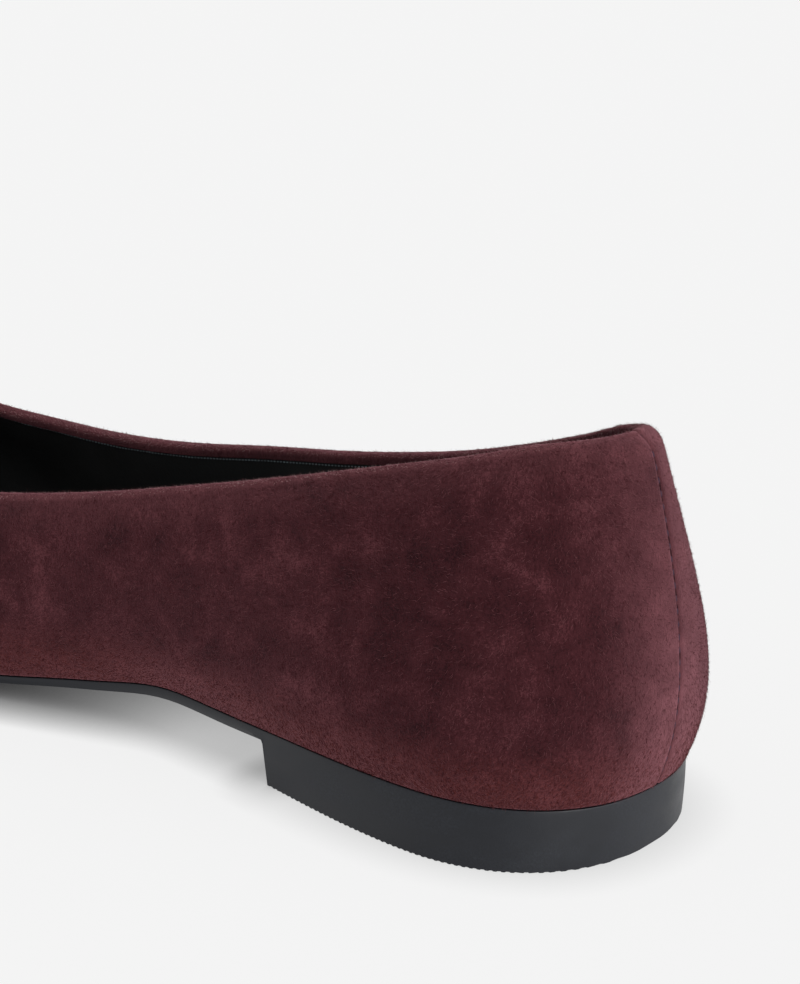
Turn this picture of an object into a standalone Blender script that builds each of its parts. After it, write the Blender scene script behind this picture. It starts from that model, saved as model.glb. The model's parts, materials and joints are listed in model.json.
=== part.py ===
"""A right-foot pointed flat in suede: a hollow upper and an insole on a moulded sole with a low heel.

The toe points along -X, the medial side of the foot faces -Y, and the shoe stands on z = 0 with the
middle of its outline over the origin. Sizes are in millimetres until the last step of each mesh.
Every place along the shoe is given as s, the distance from the back of the heel block to the toe.
"""

import math
from collections import namedtuple

import bmesh
import bpy
import numpy as np
from mathutils import Vector

MM = 0.001

# Where the shoe stands
HEEL_BACK_X = 127.63
HEEL_AXIS_Y = 0.1

# Length and heel
SHOE_LENGTH = 258.0
HEEL_LENGTH = 54.4
BREAST_LEAN = 0.2
HEEL_TREAD_HALF = 26.1
HEEL_TREAD_POWER = 2.24
HEEL_TREAD_CAP = 25.0
BREAST_MEDIAL = 20.8
BREAST_LATERAL = 22.8

# The feather line, where the upper turns under to the sole: its rounded back and its toe tip
FOOT_BACK = -0.35
FOOT_CAP = 27.2
FOOT_POWER = 2.27
TIP_CAP = 11.0
TIP_POWER = 2.1

# The topline: its rounded back and the throat, where both sides meet over the toes
TOP_BACK = 5.6
TOP_CAP = 27.5
TOP_POWER = 1.75
THROAT = 178.0
THROAT_SPAN = 38.0
ARCH_START = 134.0
ARCH_FULL = 166.0

# Walls and clearances
WALL = 1.6
FOLDED_WALL = 2.0
FOLD_DEPTH = 1.7
FOLD_STEP = 0.3
TURN_UNDER = 4.0
INSOLE_THICKNESS = 3.0
SOCK_INSET = 1.9
GAP = 0.3
SOLE_RIM = -0.1
SOLE_SWELL = 0.15
SOLE_TUCK = 0.5

# Directions
QUARTER = 0.5 * math.pi
NOSE_SLOPE = 0.30
UP = Vector((0.0, 0.0, 1.0))

# How finely each stretch is divided
HEEL_STEPS = 9
SIDE_STEPS = 13
THROAT_STEPS = 10
VAMP_STEPS = 8
TIP_STEPS = 6
WALL_STEPS = 9

# The feather line seen from above and from the side
Foot = namedtuple("Foot", "s medial lateral height")
FEET = (
    Foot(0.0, 25.6, 25.6, 9.4),
    Foot(27.0, 25.6, 25.6, 9.4),
    Foot(55.0, 22.6, 24.6, 9.5),
    Foot(75.0, 19.8, 24.6, 8.9),
    Foot(95.0, 22.6, 26.6, 6.7),
    Foot(115.0, 27.2, 30.0, 4.3),
    Foot(135.0, 31.6, 33.8, 3.3),
    Foot(155.0, 35.0, 36.2, 2.7),
    Foot(172.0, 36.6, 35.6, 2.6),
    Foot(190.0, 34.6, 31.2, 2.8),
    Foot(208.0, 29.3, 24.1, 3.9),
    Foot(226.0, 22.5, 15.9, 5.6),
    Foot(242.0, 16.0, 8.6, 7.4),
    Foot(258.0, 9.4, 1.4, 9.2),
)

# The collar's edge on each side, from the back to the throat
Top = namedtuple("Top", "s medial lateral medial_height lateral_height")
TOPS = (
    Top(5.6, 19.3, 19.3, 62.4, 62.4),
    Top(15.0, 19.3, 19.3, 60.2, 58.0),
    Top(30.0, 19.3, 19.3, 55.9, 51.4),
    Top(50.0, 21.1, 20.8, 49.8, 44.2),
    Top(70.0, 22.4, 21.8, 43.9, 39.2),
    Top(90.0, 23.7, 24.0, 38.4, 35.2),
    Top(110.0, 26.2, 25.2, 34.6, 31.2),
    Top(130.0, 28.4, 26.8, 32.8, 28.9),
    Top(148.0, 29.4, 27.0, 32.9, 28.6),
    Top(160.0, 29.4, 26.2, 34.2, 30.7),
    Top(170.0, 29.4, 24.9, 36.0, 34.2),
    Top(178.0, 29.4, 23.6, 38.0, 38.0),
)

# The last's middle line over the instep and the toes, and how full its arch is. Behind the throat,
# where the last is bare, each side's arch aims at its own height.
Ridge = namedtuple("Ridge", "s side medial_height lateral_height reach")
RIDGES = (
    Ridge(134.0, -1.8, 49.4, 40.4, 0.430),
    Ridge(150.0, -2.1, 45.2, 37.5, 0.430),
    Ridge(164.0, -2.5, 41.0, 36.8, 0.435),
    Ridge(178.0, -2.9, 37.8, 37.8, 0.440),
    Ridge(192.0, -3.3, 34.4, 34.4, 0.445),
    Ridge(208.0, -3.7, 29.8, 29.8, 0.440),
    Ridge(226.0, -4.0, 24.6, 24.6, 0.440),
    Ridge(247.0, -4.0, 18.8, 18.8, 0.440),
)

# How a wall leaves the feather line and how it arrives at the collar, in degrees from level
# and as a share of the straight line between the two
Wall = namedtuple("Wall", "s foot_angle foot_reach top_angle top_reach")
WALLS = (
    Wall(0.0, 67.0, 0.300, 72.0, 0.335),
    Wall(8.0, 60.0, 0.330, 78.0, 0.380),
    Wall(27.0, 53.0, 0.360, 83.0, 0.430),
    Wall(55.0, 52.0, 0.370, 83.0, 0.400),
    Wall(75.0, 48.0, 0.390, 82.0, 0.380),
    Wall(100.0, 52.0, 0.370, 78.0, 0.370),
    Wall(130.0, 60.0, 0.370, 70.0, 0.370),
    Wall(160.0, 68.0, 0.400, 64.0, 0.410),
    Wall(178.0, 74.0, 0.420, 60.0, 0.450),
    Wall(202.0, 76.0, 0.400, 60.0, 0.440),
    Wall(258.0, 80.0, 0.390, 60.0, 0.440),
)

# The underside in front of the heel, flat on the floor under the ball
Under = namedtuple("Under", "s height")
UNDERS = (
    Under(54.4, 7.6),
    Under(75.0, 7.0),
    Under(95.0, 5.2),
    Under(115.0, 2.8),
    Under(135.0, 1.2),
    Under(156.0, 0.0),
    Under(190.0, 0.0),
    Under(208.0, 1.1),
    Under(226.0, 2.9),
    Under(242.0, 4.9),
    Under(258.0, 6.9),
)

Station = namedtuple("Station", "foot_s top_s turn")


def smooth_value(table, name, s):
    """A column of a table at s, on a curve that never swings past the rows."""
    places = [row.s for row in table]
    values = [getattr(row, name) for row in table]
    s = min(max(s, places[0]), places[-1])
    row = max(i for i in range(len(places) - 1) if places[i] <= s)
    slopes = [
        (values[i + 1] - values[i]) / (places[i + 1] - places[i])
        for i in range(len(places) - 1)
    ]

    def tangent(i):
        if i == 0 or i == len(places) - 1:
            return slopes[0] if i == 0 else slopes[-1]
        before, after = slopes[i - 1], slopes[i]
        if before * after <= 0.0:
            return 0.0
        return 2.0 * before * after / (before + after)

    span = places[row + 1] - places[row]
    t = (s - places[row]) / span
    ease = t * t * (3.0 - 2.0 * t)
    return (
        values[row] * (1.0 - ease)
        + values[row + 1] * ease
        + span * tangent(row) * t * (1.0 - t) ** 2
        - span * tangent(row + 1) * t * t * (1.0 - t)
    )


def round_end(share, power):
    """How wide a rounded end is, at this share of its length from the tip."""
    if share >= 1.0:
        return 1.0
    return (1.0 - (1.0 - max(share, 0.0)) ** power) ** (1.0 / power)


def end_place(turn, power):
    """The share of a rounded end's length that a turn from its tip reaches."""
    return 1.0 - max(math.cos(turn), 0.0) ** (2.0 / power)


def outward(turn, side):
    """The level direction away from the foot, which fans round the back of the heel."""
    return Vector((math.cos(turn), side * math.sin(turn), 0.0))


def placed(s, side_y, height):
    """A point of the shoe, in the part's own frame."""
    return Vector((HEEL_BACK_X - s, HEEL_AXIS_Y + side_y, height))


def feather_point(s, side):
    """Where the upper turns under to the sole."""
    medial = smooth_value(FEET, "medial", s)
    lateral = smooth_value(FEET, "lateral", s)
    half = 0.5 * (medial + lateral)
    half *= round_end((s - FOOT_BACK) / FOOT_CAP, FOOT_POWER)
    half *= round_end((SHOE_LENGTH - s) / TIP_CAP, TIP_POWER)
    centre = 0.5 * (lateral - medial)
    return placed(s, centre + side * half, smooth_value(FEET, "height", s))


def collar_point(s, side):
    """A point of the topline, between the back and the throat."""
    medial = smooth_value(TOPS, "medial", s)
    lateral = smooth_value(TOPS, "lateral", s)
    half = 0.5 * (medial + lateral)
    half *= round_end((s - TOP_BACK) / TOP_CAP, TOP_POWER)
    half *= round_end((THROAT - s) / THROAT_SPAN, 2.0)
    centre = 0.5 * (lateral - medial)
    name = "medial_height" if side < 0 else "lateral_height"
    return placed(s, centre + side * half, smooth_value(TOPS, name, s))


def ridge_point(s, side):
    """A point of the last's middle line, which ends on top of the nose."""
    medial = smooth_value(RIDGES, "medial_height", s)
    lateral = smooth_value(RIDGES, "lateral_height", s)
    height = medial if side < 0 else lateral
    if s >= THROAT:
        height = 0.5 * (medial + lateral)
    return placed(s, smooth_value(RIDGES, "side", s), height)


def stations():
    """The places where sections stand, from the back of the heel to the toe tip."""
    found = []
    for i in range(HEEL_STEPS + 1):
        turn = QUARTER * i / HEEL_STEPS
        foot_s = FOOT_BACK + FOOT_CAP * end_place(turn, FOOT_POWER)
        top_s = TOP_BACK + TOP_CAP * end_place(turn, TOP_POWER)
        found.append(Station(foot_s, top_s, turn))
    side_start = found[-1]
    bend_start = THROAT - THROAT_SPAN
    for i in range(1, SIDE_STEPS + 1):
        foot_s = side_start.foot_s + (bend_start - side_start.foot_s) * i / SIDE_STEPS
        top_s = side_start.top_s + (bend_start - side_start.top_s) * i / SIDE_STEPS
        found.append(Station(foot_s, top_s, QUARTER))
    for i in range(1, THROAT_STEPS + 1):
        s = bend_start + THROAT_SPAN * math.sin(QUARTER * i / THROAT_STEPS)
        found.append(Station(s, s, QUARTER))
    nose = SHOE_LENGTH - TIP_CAP
    for i in range(1, VAMP_STEPS + 1):
        s = THROAT + (nose - THROAT) * i / VAMP_STEPS
        found.append(Station(s, s, QUARTER))
    for i in range(1, TIP_STEPS + 1):
        turn = QUARTER * i / TIP_STEPS
        foot_s = SHOE_LENGTH - TIP_CAP * end_place(QUARTER - turn, TIP_POWER)
        found.append(Station(foot_s, nose, QUARTER + turn))
    return found


def leaving(foot, chord, station, side):
    """The handle with which every section leaves the feather line."""
    angle = math.radians(smooth_value(WALLS, "foot_angle", station.foot_s))
    reach = chord * smooth_value(WALLS, "foot_reach", station.foot_s)
    out = outward(station.turn, side)
    return foot + reach * (out * math.cos(angle) + UP * math.sin(angle))


def collar_curve(station, side):
    """A section that ends at the collar: its two ends and two handles, from the foot up."""
    foot = feather_point(station.foot_s, side)
    top = collar_point(station.top_s, side)
    chord = (top - foot).length
    angle = math.radians(smooth_value(WALLS, "top_angle", station.foot_s))
    reach = chord * smooth_value(WALLS, "top_reach", station.foot_s)
    out = outward(station.turn, side)
    arriving = top + reach * (out * math.cos(angle) - UP * math.sin(angle))
    return foot, leaving(foot, chord, station, side), arriving, top


def arch_curve(station, side):
    """A section over the top of the last, up to its middle line."""
    foot = feather_point(station.foot_s, side)
    top = ridge_point(station.top_s, side)
    chord = (top - foot).length
    out = outward(station.turn, side)
    level = out + UP * (NOSE_SLOPE * min(out.x, 0.0))
    arriving = top + level * (chord * smooth_value(RIDGES, "reach", station.foot_s))
    return foot, leaving(foot, chord, station, side), arriving, top


def on_curve(ends, t):
    """A point of a four-point curve."""
    a, b, c, d = ends
    r = 1.0 - t
    return a * r**3 + b * (3.0 * r * r * t) + c * (3.0 * r * t * t) + d * t**3


def share_where(test):
    """The share between 0.3 and 1 where a test turns from false to true."""
    low, high = 0.3, 1.0
    for _ in range(24):
        middle = 0.5 * (low + high)
        low, high = (low, middle) if test(middle) else (middle, high)
    return high


def wall_section(station, side):
    """A section of the outer face as a function of its share, 0 at the foot and 1 at its top."""
    if station.top_s >= THROAT:
        arch = arch_curve(station, side)
        return lambda t: on_curve(arch, t)
    wall = collar_curve(station, side)
    ease = (station.foot_s - ARCH_START) / (ARCH_FULL - ARCH_START)
    ease = min(max(ease, 0.0), 1.0)
    if ease == 0.0:
        return lambda t: on_curve(wall, t)
    weight = ease * ease * (3.0 - 2.0 * ease)
    arch = arch_curve(station, side)
    middle, reach = arch[3].y, abs(wall[3].y - arch[3].y)
    cut = share_where(lambda t: abs(on_curve(arch, t).y - middle) < reach)
    return lambda t: on_curve(wall, t).lerp(on_curve(arch, t * cut), weight)


def turned_under(station, side, inset):
    """A point under the foot, this far in from the feather line."""
    foot = feather_point(station.foot_s, side)
    if station.turn <= QUARTER:
        return foot - outward(station.turn, side) * inset
    nose_s = SHOE_LENGTH - TIP_CAP
    left, right = feather_point(nose_s, -1), feather_point(nose_s, 1)
    centre = 0.5 * (left + right)
    return centre + (foot - centre) * (1.0 - 2.0 * inset / (right - left).length)


def upper_section(station, side):
    """One section of the upper's outer face: the turned-under edge, then the wall up to its top."""
    section = wall_section(station, side)
    top = section(1.0)
    fold = share_where(lambda t: (section(t) - top).length < FOLD_DEPTH)
    step = share_where(lambda t: (section(t) - top).length < FOLD_DEPTH + FOLD_STEP)
    shares = [step * i / WALL_STEPS for i in range(WALL_STEPS + 1)]
    shares += [fold, 1.0]
    return [turned_under(station, side, TURN_UNDER)] + [section(t) for t in shares]


def distance_to(points, path):
    """How far each point lies from a path of straight steps."""
    starts, ends = path[:-1], path[1:]
    along = ends - starts
    lengths = np.maximum((along**2).sum(axis=1), 1e-12)
    away = points[:, None, :] - starts[None]
    share = np.clip((away * along[None]).sum(axis=2) / lengths, 0.0, 1.0)
    nearest = starts[None] + share[:, :, None] * along[None]
    return np.sqrt(((points[:, None, :] - nearest) ** 2).sum(axis=2)).min(axis=1)


def link(name, mesh, material):
    """An object for a mesh, with its material and smooth round faces."""
    obj = bpy.data.objects.new(name, mesh)
    bpy.context.scene.collection.objects.link(obj)
    mesh.materials.append(material)
    mesh.shade_smooth()
    mesh.set_sharp_from_angle(angle=math.radians(40.0))
    return obj


def finished_mesh(name, bm):
    """A mesh in metres from a model in millimetres, with its doubled points merged."""
    bmesh.ops.scale(bm, vec=(MM, MM, MM), verts=bm.verts)
    bmesh.ops.remove_doubles(bm, verts=bm.verts, dist=1e-6)
    bmesh.ops.dissolve_degenerate(bm, dist=1e-7, edges=bm.edges)
    mesh = bpy.data.meshes.new(name)
    bm.to_mesh(mesh)
    bm.free()
    return mesh


def make_upper(material):
    """The hollow upper: one wall round the foot, open at the collar and underneath."""
    bm = bmesh.new()
    places = stations()
    for side in (-1, 1):
        rows = [[bm.verts.new(p) for p in upper_section(place, side)] for place in places]
        for first, second in zip(rows[:-1], rows[1:]):
            for i in range(len(first) - 1):
                loop = [first[i], second[i], second[i + 1], first[i + 1]]
                bm.faces.new(loop if side > 0 else loop[::-1])
    mesh = finished_mesh("upper", bm)
    upper = link("upper", mesh, material)

    open_places = [p for p in places if p.top_s < THROAT]
    medial = [wall_section(p, -1)(1.0) for p in open_places]
    lateral = [wall_section(p, 1)(1.0) for p in open_places]
    middle = ridge_point(THROAT, 1)
    path = np.array([middle] + medial[::-1] + lateral + [middle]) * MM
    points = np.empty(len(mesh.vertices) * 3)
    mesh.vertices.foreach_get("co", points)
    away = distance_to(points.reshape(-1, 3), path)
    group = upper.vertex_groups.new(name="thickness")
    for index, distance in enumerate(away):
        folded = distance < (FOLD_DEPTH + 0.1) * MM
        group.add([index], 1.0 if folded else WALL / FOLDED_WALL, "REPLACE")

    wall = upper.modifiers.new("wall", "SOLIDIFY")
    wall.thickness = FOLDED_WALL * MM
    wall.offset = -1.0
    wall.use_even_offset = True
    wall.vertex_group = group.name
    return upper


def make_loft(name, sections, material):
    """A solid through closed sections, whose first and last come to a line or are filled."""
    bm = bmesh.new()
    rings = [[bm.verts.new(p) for p in section] for section in sections]
    count = len(rings[0])
    for first, second in zip(rings[:-1], rings[1:]):
        for i in range(count):
            after = (i + 1) % count
            bm.faces.new([first[i], first[after], second[after], second[i]])
    bmesh.ops.remove_doubles(bm, verts=bm.verts, dist=1e-3)
    bmesh.ops.holes_fill(bm, edges=[e for e in bm.edges if e.is_boundary])
    bmesh.ops.recalc_face_normals(bm, faces=bm.faces)
    return link(name, finished_mesh(name, bm), material)


def sole_edge(station, side, grow):
    """The feather line, moved this far out along the floor."""
    return feather_point(station.foot_s, side) + outward(station.turn, side) * grow


def tread_point(station, side):
    """The heel's bottom edge on the floor."""
    if station.turn < QUARTER:
        s = HEEL_TREAD_CAP * end_place(station.turn, HEEL_TREAD_POWER)
        half = HEEL_TREAD_HALF * round_end(s / HEEL_TREAD_CAP, HEEL_TREAD_POWER)
        return placed(s, side * half, 0.0)
    start = FOOT_BACK + FOOT_CAP
    share = max((station.foot_s - start) / (HEEL_LENGTH - start), 0.0)
    s = HEEL_TREAD_CAP + (HEEL_LENGTH - HEEL_TREAD_CAP) * share
    narrow = BREAST_MEDIAL if side < 0 else BREAST_LATERAL
    return placed(s, side * (HEEL_TREAD_HALF + (narrow - HEEL_TREAD_HALF) * share**1.5), 0.0)


def sole_section(station, is_heel):
    """One section across the sole: its top face, both edges and its underside."""
    section = []
    for side in (-1, 1):
        top = sole_edge(station, side, SOLE_RIM)
        top.z -= GAP
        if is_heel:
            low = tread_point(station, side)
        else:
            low = sole_edge(station, side, -SOLE_TUCK)
            low.z = smooth_value(UNDERS, "height", station.foot_s)
        middle = 0.5 * (top + low) + outward(station.turn, side) * SOLE_SWELL
        points = [top, middle, low]
        section += points[::-1] if side > 0 else points
    return section


def make_outsole(material):
    """The moulded sole: a thin forepart and waist, and the heel block in one with them."""
    places = stations()
    heel = [p for p in places if p.foot_s < HEEL_LENGTH - 1.0]
    heel.append(Station(HEEL_LENGTH, HEEL_LENGTH, QUARTER))
    front = [Station(HEEL_LENGTH + BREAST_LEAN, HEEL_LENGTH, QUARTER)]
    front += [p for p in places if p.foot_s > HEEL_LENGTH + 2.0]
    sections = [sole_section(p, True) for p in heel] + [sole_section(p, False) for p in front]
    return make_loft("outsole", sections, material)


def make_insole(material):
    """The insole, which lies on the sole inside the turned-under edge of the upper."""
    sections = []
    for place in stations():
        section = []
        for side in (-1, 1):
            inner = turned_under(place, side, TURN_UNDER + GAP)
            outer = turned_under(place, side, SOCK_INSET)
            points = [
                inner,
                inner + UP * (WALL + GAP),
                outer + UP * (WALL + GAP),
                outer + UP * INSOLE_THICKNESS,
            ]
            section += points[::-1] if side > 0 else points
        sections.append(section)
    return make_loft("insole", sections, material)


def make_material(name, colour, roughness):
    """A plain finish in the piece's own colour."""
    material = bpy.data.materials.new(name)
    material.use_nodes = True
    shader = material.node_tree.nodes["Principled BSDF"]
    shader.inputs["Base Color"].default_value = (*colour, 1.0)
    shader.inputs["Roughness"].default_value = roughness
    shader.inputs["Metallic"].default_value = 0.0
    return material


def main():
    """Clears the scene and builds the shoe."""
    for old in list(bpy.data.objects):
        bpy.data.objects.remove(old)
    make_upper(make_material("burgundy_suede", (0.075, 0.022, 0.027), 0.95))
    make_outsole(make_material("black_sole", (0.028, 0.030, 0.034), 0.45))
    make_insole(make_material("black_sock", (0.012, 0.012, 0.013), 0.85))


if __name__ == "__main__":
    main()
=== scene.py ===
"""Looks of a right-foot pointed flat: burgundy suede, black lining and a black moulded sole.

The toe points along -X, the medial side of the foot faces -Y, and the shoe stands on z = 0. Each
sub-assembly is a class whose fields are its sizes in millimetres and whose methods model and dress it.
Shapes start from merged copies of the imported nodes, so every piece lies where its solid lies.
"""

import json
import logging
import math
from collections.abc import Callable, Iterator
from contextlib import contextmanager
from dataclasses import dataclass, field
from enum import Enum

import bmesh
import bpy
import numpy as np
from mathutils import Matrix, Vector
from mathutils.bvhtree import BVHTree

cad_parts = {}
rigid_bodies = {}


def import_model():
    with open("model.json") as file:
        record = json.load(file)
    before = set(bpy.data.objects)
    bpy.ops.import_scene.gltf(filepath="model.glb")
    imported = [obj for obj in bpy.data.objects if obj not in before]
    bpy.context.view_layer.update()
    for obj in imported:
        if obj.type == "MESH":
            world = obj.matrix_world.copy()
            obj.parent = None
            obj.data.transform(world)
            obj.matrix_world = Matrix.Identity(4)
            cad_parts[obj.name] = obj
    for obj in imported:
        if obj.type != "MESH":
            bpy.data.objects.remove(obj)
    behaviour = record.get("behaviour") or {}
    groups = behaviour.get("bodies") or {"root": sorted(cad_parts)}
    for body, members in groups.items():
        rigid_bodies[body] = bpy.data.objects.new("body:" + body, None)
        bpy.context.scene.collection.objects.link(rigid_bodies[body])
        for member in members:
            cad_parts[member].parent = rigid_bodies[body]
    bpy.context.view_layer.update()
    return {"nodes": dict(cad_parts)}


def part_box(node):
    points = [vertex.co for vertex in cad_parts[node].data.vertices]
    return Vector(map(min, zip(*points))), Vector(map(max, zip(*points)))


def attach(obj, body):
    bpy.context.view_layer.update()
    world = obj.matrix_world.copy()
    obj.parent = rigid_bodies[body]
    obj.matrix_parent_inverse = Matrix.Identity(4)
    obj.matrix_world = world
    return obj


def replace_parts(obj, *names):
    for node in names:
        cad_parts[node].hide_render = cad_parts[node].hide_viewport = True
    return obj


MM = 0.001
BODY = "root"
ABOVE_FEATHER = "above_feather"
BELOW_TOPLINE = "below_topline"
UP = Vector((0.0, 0.0, 1.0))
LEVEL = 0.8
LOG = logging.getLogger("pointed_flat")
Socket = bpy.types.NodeSocket
Piece = bpy.types.Object
Pair = tuple[float, float]
Triple = tuple[float, float, float]


class Slot(Enum):
    """The record's material slots."""

    SUEDE = "suede"
    RUBBER = "sole_rubber"
    SOCK = "sock_lining"


class Part(Enum):
    """What is picked in edit mode."""

    VERTICES = "VERT"
    EDGES = "EDGE"
    FACES = "FACE"


class Zone(Enum):
    """The faces of the upper's wall, from its outside to its inside."""

    OUTER = 0
    FACING = 1
    STEP = 2
    INNER = 3


def only(obj: Piece) -> None:
    """Makes one object the only selected one and the active one.

    Args:
        obj: The object.
    """
    bpy.ops.object.select_all(action="DESELECT")
    obj.select_set(True)
    bpy.context.view_layer.objects.active = obj


@contextmanager
def editing(obj: Piece) -> Iterator[None]:
    """Opens an object in edit mode for the block that follows.

    Args:
        obj: The object to edit.
    """
    only(obj)
    bpy.ops.object.mode_set(mode="EDIT")
    yield
    bpy.ops.object.mode_set(mode="OBJECT")


def pick(obj: Piece, part: Part, test: Callable[..., bool]) -> None:
    """Selects, in edit mode, only what passes a test.

    Args:
        obj: The object in edit mode.
        part: Whether vertices, edges or faces are picked.
        test: Takes one of them and says whether it is picked.
    """
    bpy.ops.mesh.select_mode(type=part.value)
    bpy.ops.mesh.select_all(action="DESELECT")
    model = bmesh.from_edit_mesh(obj.data)
    model.normal_update()
    items = {Part.VERTICES: model.verts, Part.EDGES: model.edges, Part.FACES: model.faces}[part]
    for item in [item for item in items if test(item)]:
        item.select_set(True)
    model.select_flush_mode()
    bmesh.update_edit_mesh(obj.data)


def bend(edge: bmesh.types.BMEdge) -> float:
    """The angle between an edge's two faces in degrees, or 0 on a border."""
    return math.degrees(edge.calc_face_angle(0.0)) if edge.is_manifold else 0.0


def middle_height(edge: bmesh.types.BMEdge) -> float:
    """The height of an edge's middle in millimetres."""
    return 0.5 * (edge.verts[0].co.z + edge.verts[1].co.z) / MM


def copy_of(node: Piece, name: str) -> Piece:
    """A piece of its own with a node's shape, its triangles merged into one grid of quads.

    Args:
        node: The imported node, which stays as it is.
        name: The new piece's name.

    Returns:
        The new piece.
    """
    piece = linked(name, node.data.copy())
    piece.data.name = name
    piece.data.materials.clear()
    with editing(piece):
        bpy.ops.mesh.customdata_custom_splitnormals_clear()
        bpy.ops.mesh.select_all(action="SELECT")
        bpy.ops.mesh.remove_doubles(threshold=1e-6)
        bpy.ops.mesh.tris_convert_to_quads(
            face_threshold=math.radians(100.0),
            shape_threshold=math.radians(110.0),
            topology_influence=1.3,
        )
    return piece


def apply(piece: Piece, kind: str, **settings: object) -> None:
    """Adds a modifier with these settings and applies it.

    Args:
        piece: The piece to change.
        kind: The modifier's type.
        **settings: Values for the modifier's properties.
    """
    only(piece)
    modifier = piece.modifiers.new(kind.lower(), kind)
    for key, value in settings.items():
        setattr(modifier, key, value)
    bpy.ops.object.modifier_apply(modifier=modifier.name)


def subdivided(piece: Piece, levels: int) -> None:
    """Rounds a piece off by subdivision, this many times."""
    apply(piece, "SUBSURF", levels=levels, render_levels=levels)


def rounded(width: float, segments: int) -> None:
    """Rounds the picked edges off.

    Args:
        width: How wide the rounding is, in millimetres.
        segments: How many faces it has across.
    """
    bpy.ops.mesh.bevel(
        offset=width * MM, segments=segments, profile=0.5, affect="EDGES", clamp_overlap=False
    )


def linked(name: str, data: bpy.types.ID) -> Piece:
    """Adds an object to the scene.

    Args:
        name: The object's name.
        data: Its mesh, lamp or camera.

    Returns:
        The object.
    """
    made = bpy.data.objects.new(name, data)
    bpy.context.scene.collection.objects.link(made)
    return made


def read(mesh: bpy.types.Mesh, key: str) -> np.ndarray:
    """Reads three numbers from each of a mesh's vertices.

    Args:
        mesh: The mesh.
        key: Either co, for places in metres, or normal.

    Returns:
        An array with a row for each vertex.
    """
    values = np.empty(len(mesh.vertices) * 3)
    mesh.vertices.foreach_get(key, values)
    return values.reshape(-1, 3)


def points_of(piece: Piece) -> np.ndarray:
    """A piece's vertices in millimetres."""
    return read(piece.data, "co") / MM


def set_points(piece: Piece, points: np.ndarray) -> None:
    """Moves a piece's vertices to these places in millimetres."""
    piece.data.vertices.foreach_set("co", (points * MM).ravel())
    piece.data.update()


def ramp(values: np.ndarray, start: float, run: float) -> np.ndarray:
    """How far values have come from start along a run, from 0 to 1."""
    return np.clip((values - start) / run, 0.0, 1.0)


def bell(distances: np.ndarray, width: float) -> np.ndarray:
    """A soft peak: 1 at no distance, and about a third at the width."""
    return np.exp(-((distances / width) ** 2))


def unit(vectors: np.ndarray) -> np.ndarray:
    """Vectors in the same directions with a length of 1."""
    return vectors / np.maximum(np.linalg.norm(vectors, axis=1), 1e-6)[:, None]


def from_segment(
    points: np.ndarray, start: np.ndarray, end: np.ndarray
) -> tuple[np.ndarray, np.ndarray]:
    """Finds where points lie beside a straight segment.

    Args:
        points: The points, one in each row.
        start: The segment's start.
        end: The segment's end.

    Returns:
        Each point's share of the way along the segment, and its distance from it.
    """
    run = end - start
    share = np.clip((points - start) @ run / (run @ run), 0.0, 1.0)
    return share, np.linalg.norm(points - start - share[:, None] * run, axis=1)


@dataclass(frozen=True)
class WaistBend:
    """The sharper bend of the waist on the medial side, where the sole leaves the heel."""

    bend_x: float = 51.0
    bend_reach: float = 8.5
    bend_up: float = 0.75
    dip_x: float = 23.0
    dip_reach: float = 10.0
    dip_down: float = 0.40
    full_below: float = 10.0
    none_above: float = 24.0
    medial_fade: float = 12.0

    def settle(self, piece: Piece) -> None:
        """Bends a piece's lower part to it.

        Args:
            piece: The piece, of which only the medial side moves.
        """
        points = points_of(piece)
        x, y, z = points.T
        lift = self.bend_up * bell(x - self.bend_x, self.bend_reach)
        lift -= self.dip_down * bell(x - self.dip_x, self.dip_reach)
        low = ramp(self.none_above - z, 0.0, self.none_above - self.full_below)
        medial = ramp(-y, 0.0, self.medial_fade)
        points[:, 2] += lift * low * low * (3.0 - 2.0 * low) * medial
        set_points(piece, points)


def finish_piece(piece: Piece, finish: "Finish", slot: Slot, angle: float) -> None:
    """Shades a piece, gives it its finish and fixes it to the shoe.

    Args:
        piece: The finished mesh.
        finish: The finish that it wears.
        slot: The record's slot that it stands for; not used.
        angle: Edges sharper than this many degrees stay sharp.
    """
    only(piece)
    bpy.ops.object.shade_smooth_by_angle(angle=math.radians(angle))
    piece.data.materials.clear()
    piece.data.materials.append(finish.material())
    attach(piece, BODY)
    LOG.info("%s: %d faces", piece.name, len(piece.data.polygons))


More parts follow.
